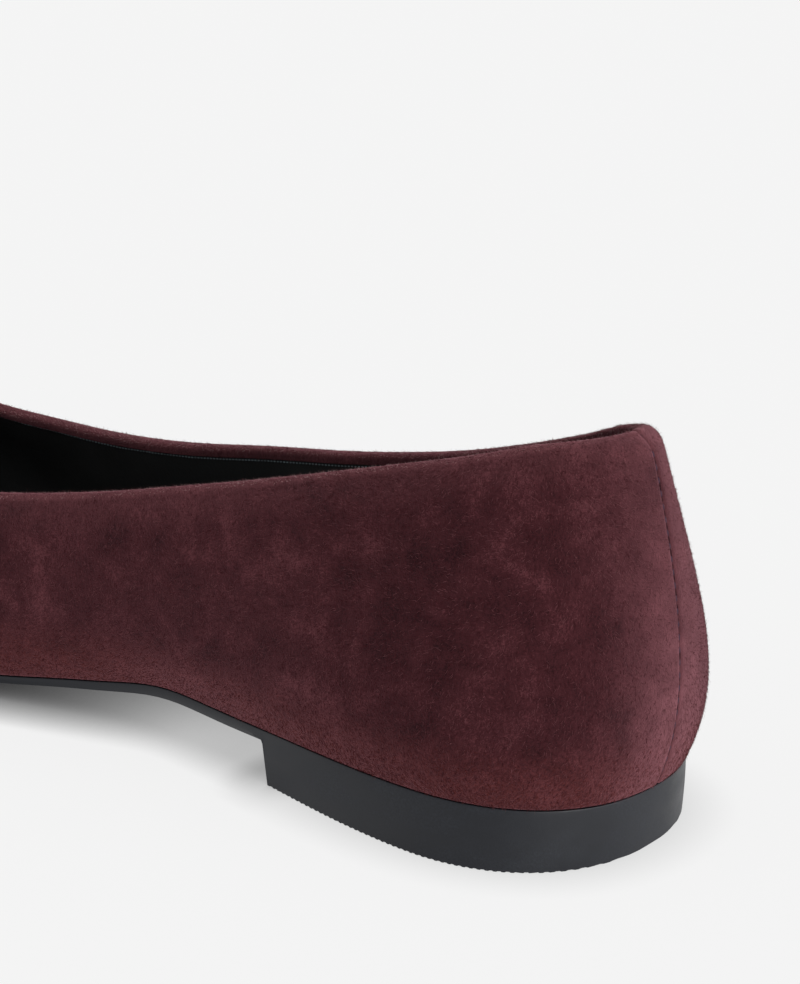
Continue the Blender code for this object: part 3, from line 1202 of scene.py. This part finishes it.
@dataclass
class Lining:
    """The black lining, from under the sock to behind the facing."""

    wall: Wall
    upper: SuedeUpper
    sheet: float = 0.5
    tuck: float = 0.7
    behind: float = 0.4
    floor_below: float = 14.0

    def build(self) -> Piece:
        """Models the lining.

        Returns:
            The closed sheet of lining.
        """
        piece = self.wall.marked_copy("lining")
        with editing(piece):
            Wall.drop(piece, Zone.OUTER, Zone.FACING, Zone.STEP)
            pick(piece, Part.FACES, self.on_floor)
            bpy.ops.mesh.delete(type="FACE")
            model = bmesh.from_edit_mesh(piece.data)
            top = max(v.co.z for v in model.verts)
            pick(piece, Part.VERTICES, lambda v: v.co.z > top - 1e-6)
            bpy.ops.mesh.select_linked()
            bpy.ops.mesh.select_all(action="INVERT")
            bpy.ops.mesh.delete(type="VERT")
            high = self.wall.collar_above
            pick(piece, Part.EDGES, lambda e: e.is_boundary and middle_height(e) > high)
            bpy.ops.mesh.extrude_edges_move()
            self.raise_new_edge(piece)
        subdivided(piece, 2)
        points = points_of(piece)
        set_points(piece, points + self.upper.curl(points))
        apply(piece, "SOLIDIFY", thickness=self.sheet * MM, offset=-1.0)
        WaistBend().settle(piece)
        finish_piece(piece, BlackLining(), Slot.SOCK, 60.0)
        return piece

    def on_floor(self, face: bmesh.types.BMFace) -> bool:
        """Whether a face belongs to the turned-under edge, below the sock."""
        return face.normal.z > LEVEL and face.calc_center_median().z < self.floor_below * MM

    def raise_new_edge(self, piece: Piece) -> None:
        """Moves the extruded edge up behind the facing, straight on from the wall below it.

        Args:
            piece: The lining in edit mode, with its new edge selected.
        """
        model = bmesh.from_edit_mesh(piece.data)
        model.normal_update()
        raised = {v for v in model.verts if v.select}
        rim = {e.other_vert(v) for v in raised for e in v.link_edges} - raised
        for new in raised:
            old = next(e.other_vert(new) for e in new.link_edges if e.other_vert(new) in rim)
            around = [e.other_vert(old) for e in old.link_edges]
            near = (v.co for v in around if v not in rim | raised)
            below = min(near, key=lambda co: (co - old.co).length, default=old.co - UP)
            up = (old.co - below).normalized()
            new.co = old.co + (up * self.tuck - old.normal * self.behind) * MM
        bmesh.update_edit_mesh(piece.data)


@dataclass
class Outsole:
    """The moulded sole and heel, with its fine cross-ribbed tread."""

    node: Piece
    lift: float = 0.25
    edge: float = 0.22
    pitch: float = 1.05
    rib_depth: float = 0.13
    heel_from_x: float = 74.0
    fore_to_x: float = 12.0
    corner: float = 40.0
    breast: float = 0.9
    down: float = 0.85
    phases: tuple[float, ...] = (0.0, 0.34, 0.5, 0.84)

    def build(self) -> Piece:
        """Models the sole.

        Returns:
            The closed sole.
        """
        piece = copy_of(self.node, "moulded_sole")
        with editing(piece):
            pick(piece, Part.VERTICES, self.on_top)
            bpy.ops.transform.translate(value=(0.0, 0.0, self.lift * MM))
            pick(piece, Part.EDGES, lambda e: bend(e) > self.corner and not self.stays_sharp(e))
            rounded(self.edge, 2)
            pick(piece, Part.EDGES, lambda e: bend(e) > self.corner and self.stays_sharp(e))
            bpy.ops.transform.edge_crease(value=1.0)
        subdivided(piece, 2)
        places = points_of(piece)[:, 0]
        low, high = places.min(), places.max()
        count = int((high - low) / self.pitch)
        with editing(piece):
            pick(piece, Part.FACES, self.faces_down)
            bpy.ops.mesh.hide(unselected=True)
            for number in range(count + 1):
                for phase in self.phases:
                    x = low + (number + phase) * self.pitch
                    if self.has_ribs(x):
                        bpy.ops.mesh.select_all(action="SELECT")
                        bpy.ops.mesh.bisect(plane_co=(x * MM, 0.0, 0.0), plane_no=(1.0, 0.0, 0.0))
            bpy.ops.mesh.reveal()
            pick(piece, Part.FACES, self.faces_down)
            model = bmesh.from_edit_mesh(piece.data)
            for vertex in {v for f in model.faces if f.select for v in f.verts}:
                x = vertex.co.x / MM
                if self.has_ribs(x):
                    phase = ((x - low) / self.pitch + 1e-4) % 1.0
                    up = np.interp(phase, (*self.phases, 1.0), (0.0, 0.0, 1.0, 1.0, 0.0))
                    vertex.co.z += up * self.rib_depth * MM
            bmesh.update_edit_mesh(piece.data)
        WaistBend().settle(piece)
        finish_piece(piece, BlackRubber(), Slot.RUBBER, 30.0)
        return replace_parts(piece, "outsole")

    @staticmethod
    def on_top(vertex: bmesh.types.BMVert) -> bool:
        """Whether a vertex belongs to the sole's upper face."""
        return any(f.normal.z > LEVEL for f in vertex.link_faces)

    def has_ribs(self, x: float) -> bool:
        """Whether the tread is ribbed there: under the forepart and the heel."""
        return not self.fore_to_x < x < self.heel_from_x

    def stays_sharp(self, edge: bmesh.types.BMEdge) -> bool:
        """Whether an edge bounds the sole's underside or the heel's breast."""
        return any(f.normal.z < -LEVEL or f.normal.x < -self.breast for f in edge.link_faces)

    def faces_down(self, face: bmesh.types.BMFace) -> bool:
        """Whether a face is part of the underside."""
        return face.normal.z < -self.down


@dataclass
class Sock:
    """The sock over the insole, slightly cupped under the heel."""

    node: Piece
    edge: float = 0.7
    cup: float = 0.9
    cup_half: Pair = (30.0, 22.0)
    cup_falloff: float = 1.6
    heel_x: float = 98.0
    top_above: float = 11.0
    corner: float = 45.0

    def build(self) -> Piece:
        """Models the sock.

        Returns:
            The closed sock.
        """
        piece = copy_of(self.node, "sock")
        with editing(piece):
            pick(piece, Part.EDGES, lambda e: bend(e) > self.corner and self.is_top(e))
            rounded(self.edge, 2)
            pick(piece, Part.EDGES, lambda e: bend(e) > self.corner)
            bpy.ops.transform.edge_crease(value=1.0)
        subdivided(piece, 2)
        points = points_of(piece)
        x, y, z = points.T
        up = ramp(read(piece.data, "normal")[:, 2], 0.6, 0.4)
        out = np.hypot((x - self.heel_x) / self.cup_half[0], y / self.cup_half[1])
        sunk = self.cup * np.exp(-(out**2) * self.cup_falloff)
        points[:, 2] -= up * sunk * (z > self.top_above)
        set_points(piece, points)
        WaistBend().settle(piece)
        finish_piece(piece, BlackLining(), Slot.SOCK, 50.0)
        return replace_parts(piece, "insole")

    @staticmethod
    def is_top(edge: bmesh.types.BMEdge) -> bool:
        """Whether an edge rims the sock's upper face."""
        ups = [f.normal.z for f in edge.link_faces]
        return max(ups) > LEVEL and min(ups) > -0.5


@dataclass(frozen=True)
class Fibres:
    """The fibres of one piece of the nap.

    Lengths and widths are in millimetres, and lifts off the skin in degrees.
    """

    finish: Finish
    count: int
    lengths: Pair = (0.30, 0.75)
    width: float = 0.066
    lifts: Pair = (8.0, 28.0)


@dataclass
class Nap:
    """The suede's fibres: thin closed spikes that lean over, joined into a few pieces."""

    skin: Skin
    seed: int = 7
    lean: Triple = (-0.5, 0.0, -0.866)
    body: Fibres = Fibres(ShortNap(), 42000)
    warm: Fibres = Fibres(WarmNap(), 16000)
    pale: Fibres = Fibres(PaleNap(), 24000, (0.5, 1.2), 0.046, (8.0, 34.0))
    fringe: Fibres = Fibres(FringeNap(), 6000, (0.20, 0.60), 0.045, (20.0, 80.0))
    heel_from_x: float = 82.0
    bare_below: float = 0.2
    under_below: float = 2.0
    under_turn: float = 0.7
    seam_from_x: float = 108.0
    seam_y: float = 0.1
    seam_half: float = 0.55
    fringe_half: float = 0.5
    warm_below: float = 11.0
    halo_from_x: float = 104.0
    halo_fade: float = 14.0
    halo_half: float = 10.0
    halo_bare: float = 0.8
    halo_pale: float = 5.0
    swirl_spread: float = 0.6
    root_depth: float = 0.04

    def build(self) -> list[Piece]:
        """Grows the nap.

        Returns:
            The nap's pieces.
        """
        draw = np.random.default_rng(self.seed)
        x, y, _ = self.skin.corners.mean(axis=1).T
        faces_out = self.skin.normals.mean(axis=1)[:, 2]
        heights = self.skin.heights
        under = (faces_out < -self.under_turn) & (heights < self.under_below)
        seam = (x > self.seam_from_x) & (abs(y - self.seam_y) < self.seam_half)
        areas = self.skin.areas() * ((heights > self.bare_below) & ~under) * ~seam
        heel, medial = x > self.heel_from_x, y < 0.0
        # fibres along the topline's edge, in the fringe's painted highlight colour
        edge = abs(self.skin.belows) < self.fringe_half
        low = np.clip(1.0 - heights / self.warm_below, 0.0, 1.0) ** 1.5
        # painted sheen beside the back seam: body fibres thinned and pale fibres crowded there
        halo = ramp(x, self.halo_from_x, self.halo_fade) * bell(y, self.halo_half)
        regions = {
            "nap_heel": (areas * heel * (1.0 - self.halo_bare * halo), self.body),
            "nap_medial": (areas * medial * ~heel, self.body),
            "nap_lateral": (areas * ~medial * ~heel, self.body),
            "nap_warm": (areas * low, self.warm),
            "nap_pale": (areas * (1.0 + self.halo_pale * halo), self.pale),
            "nap_fringe": (areas * edge, self.fringe),
        }
        return [self.grow(draw, name, *region) for name, region in regions.items()]

    def grow(
        self, draw: np.random.Generator, name: str, weights: np.ndarray, fibres: Fibres
    ) -> Piece:
        """Grows one piece of the nap.

        Args:
            draw: The seeded source of chance.
            name: The piece's name.
            weights: How likely each of the skin's triangles is to carry a fibre.
            fibres: Its fibres.

        Returns:
            The piece.
        """
        count = fibres.count
        chosen = draw.choice(len(weights), size=count, p=weights / weights.sum())
        shares = draw.dirichlet((1.0, 1.0, 1.0), size=count)[:, :, None]
        roots = (self.skin.corners[chosen] * shares).sum(axis=1)
        normals = unit((self.skin.normals[chosen] * shares).sum(axis=1))
        lean = np.array(self.lean)
        down = unit(lean - normals * (normals @ lean)[:, None])
        level = np.cross(normals, down)
        x, y, z = roots.T
        swirl = 0.7 * np.sin(x / 15.0 + 1.3 * np.sin(z / 9.0))
        swirl += 0.5 * np.sin(y / 11.0 + x / 29.0 + z / 13.0)
        turn = (swirl + draw.normal(0.0, self.swirl_spread, count))[:, None]
        along = down * np.cos(turn) + level * np.sin(turn)
        side = np.cross(normals, along)
        lift = np.radians(draw.uniform(*fibres.lifts, count))[:, None]
        length = draw.uniform(*fibres.lengths, count)[:, None]
        base = roots - self.root_depth * normals
        tips = base + length * (along * np.cos(lift) + normals * np.sin(lift))
        half, ridge = 0.5 * fibres.width * side, 0.7 * fibres.width * normals
        points = np.stack([base + half, base - half, base + ridge, tips], axis=1)
        starts = 4 * np.arange(count)[:, None, None]
        faces = starts + np.array([[0, 1, 2], [0, 2, 3], [2, 1, 3], [1, 0, 3]])[None]
        mesh = bpy.data.meshes.new(name)
        mesh.vertices.add(4 * count)
        mesh.vertices.foreach_set("co", (points.reshape(-1) * MM))
        mesh.loops.add(12 * count)
        mesh.loops.foreach_set("vertex_index", faces.reshape(-1).astype(np.int32))
        mesh.polygons.add(4 * count)
        mesh.polygons.foreach_set("loop_start", np.arange(0, 12 * count, 3, dtype=np.int32))
        mesh.update(calc_edges=True)
        mesh.validate()
        piece = linked(name, mesh)
        mesh.materials.append(fibres.finish.material())
        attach(piece, BODY)
        LOG.info("%s: %d fibres", name, count)
        return piece


@dataclass
class Stitching:
    """A row of stitches: one stitch, copied along a path and joined."""

    name: str
    finish: Finish
    slot: Slot
    pitch: float
    length: float
    width: float
    flatness: float = 0.8
    fullness: float = 0.75

    def build(self, path: list[tuple[Vector, Vector]]) -> Piece:
        """Models the row.

        Args:
            path: Points of the path in metres, each with the surface's normal there.

        Returns:
            The joined stitches.
        """
        bpy.ops.object.select_all(action="DESELECT")
        bpy.ops.mesh.primitive_uv_sphere_add(segments=8, ring_count=6, radius=0.5)
        one = bpy.context.object
        shape = read(one.data, "co")
        faces = [list(p.vertices) for p in one.data.polygons]
        bpy.data.objects.remove(one)
        shape[:, 2] = np.sign(shape[:, 2]) * abs(2.0 * shape[:, 2]) ** self.fullness / 2.0
        all_points, all_faces = [], []
        for place, along, normal in self.stations(path):
            side = along.cross(normal).normalized()
            height = normal * self.width * self.flatness
            turn = np.array([side * self.width, height, along * self.length])
            start = len(all_points) * len(shape)
            all_points.append(np.array(place) + shape @ turn * MM)
            all_faces += [[start + i for i in f] for f in faces]
        mesh = bpy.data.meshes.new(self.name)
        mesh.from_pydata(np.concatenate(all_points).tolist(), [], all_faces)
        piece = linked(self.name, mesh)
        with editing(piece):
            bpy.ops.mesh.select_all(action="SELECT")
            bpy.ops.mesh.normals_make_consistent(inside=False)
        finish_piece(piece, self.finish, self.slot, 60.0)
        return piece

    def stations(
        self, path: list[tuple[Vector, Vector]]
    ) -> Iterator[tuple[Vector, Vector, Vector]]:
        """Each stitch's place, direction and outward normal, evenly along the path.

        Args:
            path: Points in metres, each with the surface's normal.

        Yields:
            A place, a direction and a normal.
        """
        walked, wanted = 0.0, 0.5 * self.pitch * MM
        for (a, na), (b, nb) in zip(path[:-1], path[1:]):
            run = (b - a).length
            while run > 0.0 and wanted <= walked + run:
                share = (wanted - walked) / run
                yield a.lerp(b, share), (b - a).normalized(), na.lerp(nb, share).normalized()
                wanted += self.pitch * MM
            walked += run


@dataclass
class Seams:
    """The stitches that show: down the back seam and round the facing inside."""

    suede: Piece
    lining: Piece
    upper: SuedeUpper
    back_top: float = 3.2
    back_bottom: float = 8.4
    back_step: float = 0.5
    seam_y: float = 0.1
    below_edge: float = 0.62
    throat_x: float = -45.0
    back_stand: float = 0.07
    search: float = 2.0

    def build(self) -> list[Piece]:
        """Sews both rows.

        Returns:
            The two rows of stitches.
        """
        graph = bpy.context.evaluated_depsgraph_get()
        outside, inside = (BVHTree.FromObject(piece, graph) for piece in (self.suede, self.lining))
        back = Stitching("back_seam_stitches", SeamThread(), Slot.SUEDE, 1.9, 0.95, 0.36)
        facing = Stitching("facing_stitches", GreyThread(), Slot.SOCK, 0.72, 0.42, 0.26)
        return [back.build(self.back_path(outside)), facing.build(self.facing_path(inside))]

    def back_path(self, tree: BVHTree) -> list[tuple[Vector, Vector]]:
        """The path down the back seam.

        Args:
            tree: The suede's surface.

        Returns:
            Points with normals, from the top down.
        """
        low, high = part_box("upper")
        path = []
        z = high.z - self.back_top * MM
        while z > low.z + self.back_bottom * MM:
            behind = Vector((high.x + 0.02, self.seam_y * MM, z))
            place, _, _, _ = tree.ray_cast(behind, Vector((-1.0, 0.0, 0.0)))
            if place is not None:
                stand = Vector((self.back_stand * MM, 0.0, 0.0))
                path.append((place + stand, Vector((1.0, 0.0, 0.1)).normalized()))
            z -= self.back_step * MM
        return path

    def facing_path(self, tree: BVHTree) -> list[tuple[Vector, Vector]]:
        """The path along the facing's lower edge, inside the shoe.

        Args:
            tree: The lining's surface.

        Returns:
            Points with normals, round the collar from one side of the throat to the other.
        """
        copy = self.upper.wall.marked_copy("facing_guide")
        model = bmesh.new()
        model.from_mesh(copy.data)
        model.normal_update()
        zone = model.faces.layers.int["zone"]
        wanted = {Zone.FACING.value, Zone.STEP.value}
        edges = {e for e in model.edges if {f[zone] for f in e.link_faces} == wanted}
        loop = []
        edge = min(edges, key=lambda e: e.verts[0].co.x)
        vertex = edge.verts[0]
        while edges:
            edges.discard(edge)
            loop.append(vertex)
            vertex = edge.other_vert(vertex)
            following = [e for e in vertex.link_edges if e in edges]
            if not following:
                break
            edge = following[0]
        loop.append(vertex)
        path = []
        for v in loop:
            faces = [f for f in v.link_faces if f[zone] == Zone.FACING.value]
            normal = sum((f.normal for f in faces), Vector()).normalized()
            middle = sum((f.calc_center_median() for f in faces), Vector()) / len(faces)
            up = (middle - v.co).normalized()
            corner = np.array([v.co - up * self.below_edge * MM]) / MM
            off = normal * self.search * MM
            guess = Vector((corner + self.upper.curl(corner))[0]) * MM + off
            place, _, _, _ = tree.ray_cast(guess, -normal, 2.0 * self.search * MM)
            if v.co.x > self.throat_x * MM:
                path.append((guess - off if place is None else place, normal))
        model.free()
        bpy.data.objects.remove(copy)
        return path


@dataclass(frozen=True)
class Lamp:
    """A soft lamp that lights the whole floor evenly, from the direction of its origin.

    Its spread is how many degrees across it looks, which sets how soft its shadows are.
    """

    name: str
    origin: Triple
    spread: float
    power: float

    def hang(self) -> None:
        """Hangs the lamp in the studio, turned from its origin to the shoe."""
        data = bpy.data.lights.new(self.name, "SUN")
        data.angle = math.radians(self.spread)
        data.energy = self.power
        turn = (-Vector(self.origin)).to_track_quat("-Z", "Y").to_euler()
        linked(self.name, data).rotation_euler = turn


@dataclass
class Studio:
    """The pale floor, the soft light and the camera."""

    floor_half: float = 6000.0
    sky: float = 0.57
    wall: float = 0.905
    lamps: tuple[Lamp, ...] = (
        Lamp("top_light", (-0.15, -0.45, 1.0), 60.0, 0.35),
        Lamp("back_light", (1.0, 0.20, 0.40), 50.0, 1.3),
        Lamp("low_light", (0.95, -0.25, 0.12), 50.0, 2.1),
    )
    lens: float = 115.167
    eye: Triple = (333.17, -365.95, 190.80)
    right: Triple = (0.8120969, 0.5814162, 0.0495355)
    up: Triple = (-0.2221946, 0.2296199, 0.9475781)
    forward: Triple = (-0.5395629, 0.7805318, -0.3156612)

    def build(self) -> None:
        """Sets the studio up."""
        self.make_floor()
        self.make_sky()
        for lamp in self.lamps:
            lamp.hang()
        self.make_camera()
        bpy.context.scene.view_settings.view_transform = "Standard"

    def make_floor(self) -> None:
        """Lays the pale floor."""
        bpy.ops.object.select_all(action="DESELECT")
        bpy.ops.mesh.primitive_plane_add(size=2.0 * self.floor_half * MM)
        floor = bpy.context.object
        floor.name = "floor"
        floor.data.materials.append(PaleFloor().material())

    def make_sky(self) -> None:
        """Lights the scene evenly from all round, before a wall as pale as the floor."""
        world = bpy.data.worlds.new("studio")
        world.use_nodes = True
        nodes, links = world.node_tree.nodes, world.node_tree.links
        light, wall = nodes["Background"], nodes.new("ShaderNodeBackground")
        for shader, strength in ((light, self.sky), (wall, self.wall)):
            shader.inputs["Color"].default_value = (1.0, 1.0, 1.0, 1.0)
            shader.inputs["Strength"].default_value = strength
        chooser, ray = nodes.new("ShaderNodeMixShader"), nodes.new("ShaderNodeLightPath")
        links.new(ray.outputs["Is Camera Ray"], chooser.inputs[0])
        links.new(light.outputs[0], chooser.inputs[1])
        links.new(wall.outputs[0], chooser.inputs[2])
        links.new(chooser.outputs[0], nodes["World Output"].inputs["Surface"])
        bpy.context.scene.world = world

    def make_camera(self) -> None:
        """Stands the camera where the photograph was taken."""
        data = bpy.data.cameras.new("camera")
        data.lens = self.lens
        data.clip_start = 10.0 * MM
        data.clip_end = 20.0
        camera = linked("camera", data)
        turn = Matrix((self.right, self.up, tuple(-f for f in self.forward))).transposed()
        camera.matrix_world = Matrix.Translation(Vector(self.eye) * MM) @ turn.to_4x4()
        bpy.context.scene.camera = camera


def main() -> None:
    """Builds the shoe's pieces in order, then the studio."""
    logging.basicConfig(level=logging.INFO, format="%(name)s: %(message)s")
    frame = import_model()
    nodes = frame["nodes"]
    wall = Wall(nodes["upper"])
    upper = SuedeUpper(wall)
    suede = upper.build()
    lining = Lining(wall, upper).build()
    Outsole(nodes["outsole"]).build()
    Sock(nodes["insole"]).build()
    Seams(suede, lining, upper).build()
    Nap(upper.skin).build()
    Studio().build()


if __name__ == "__main__":
    main()
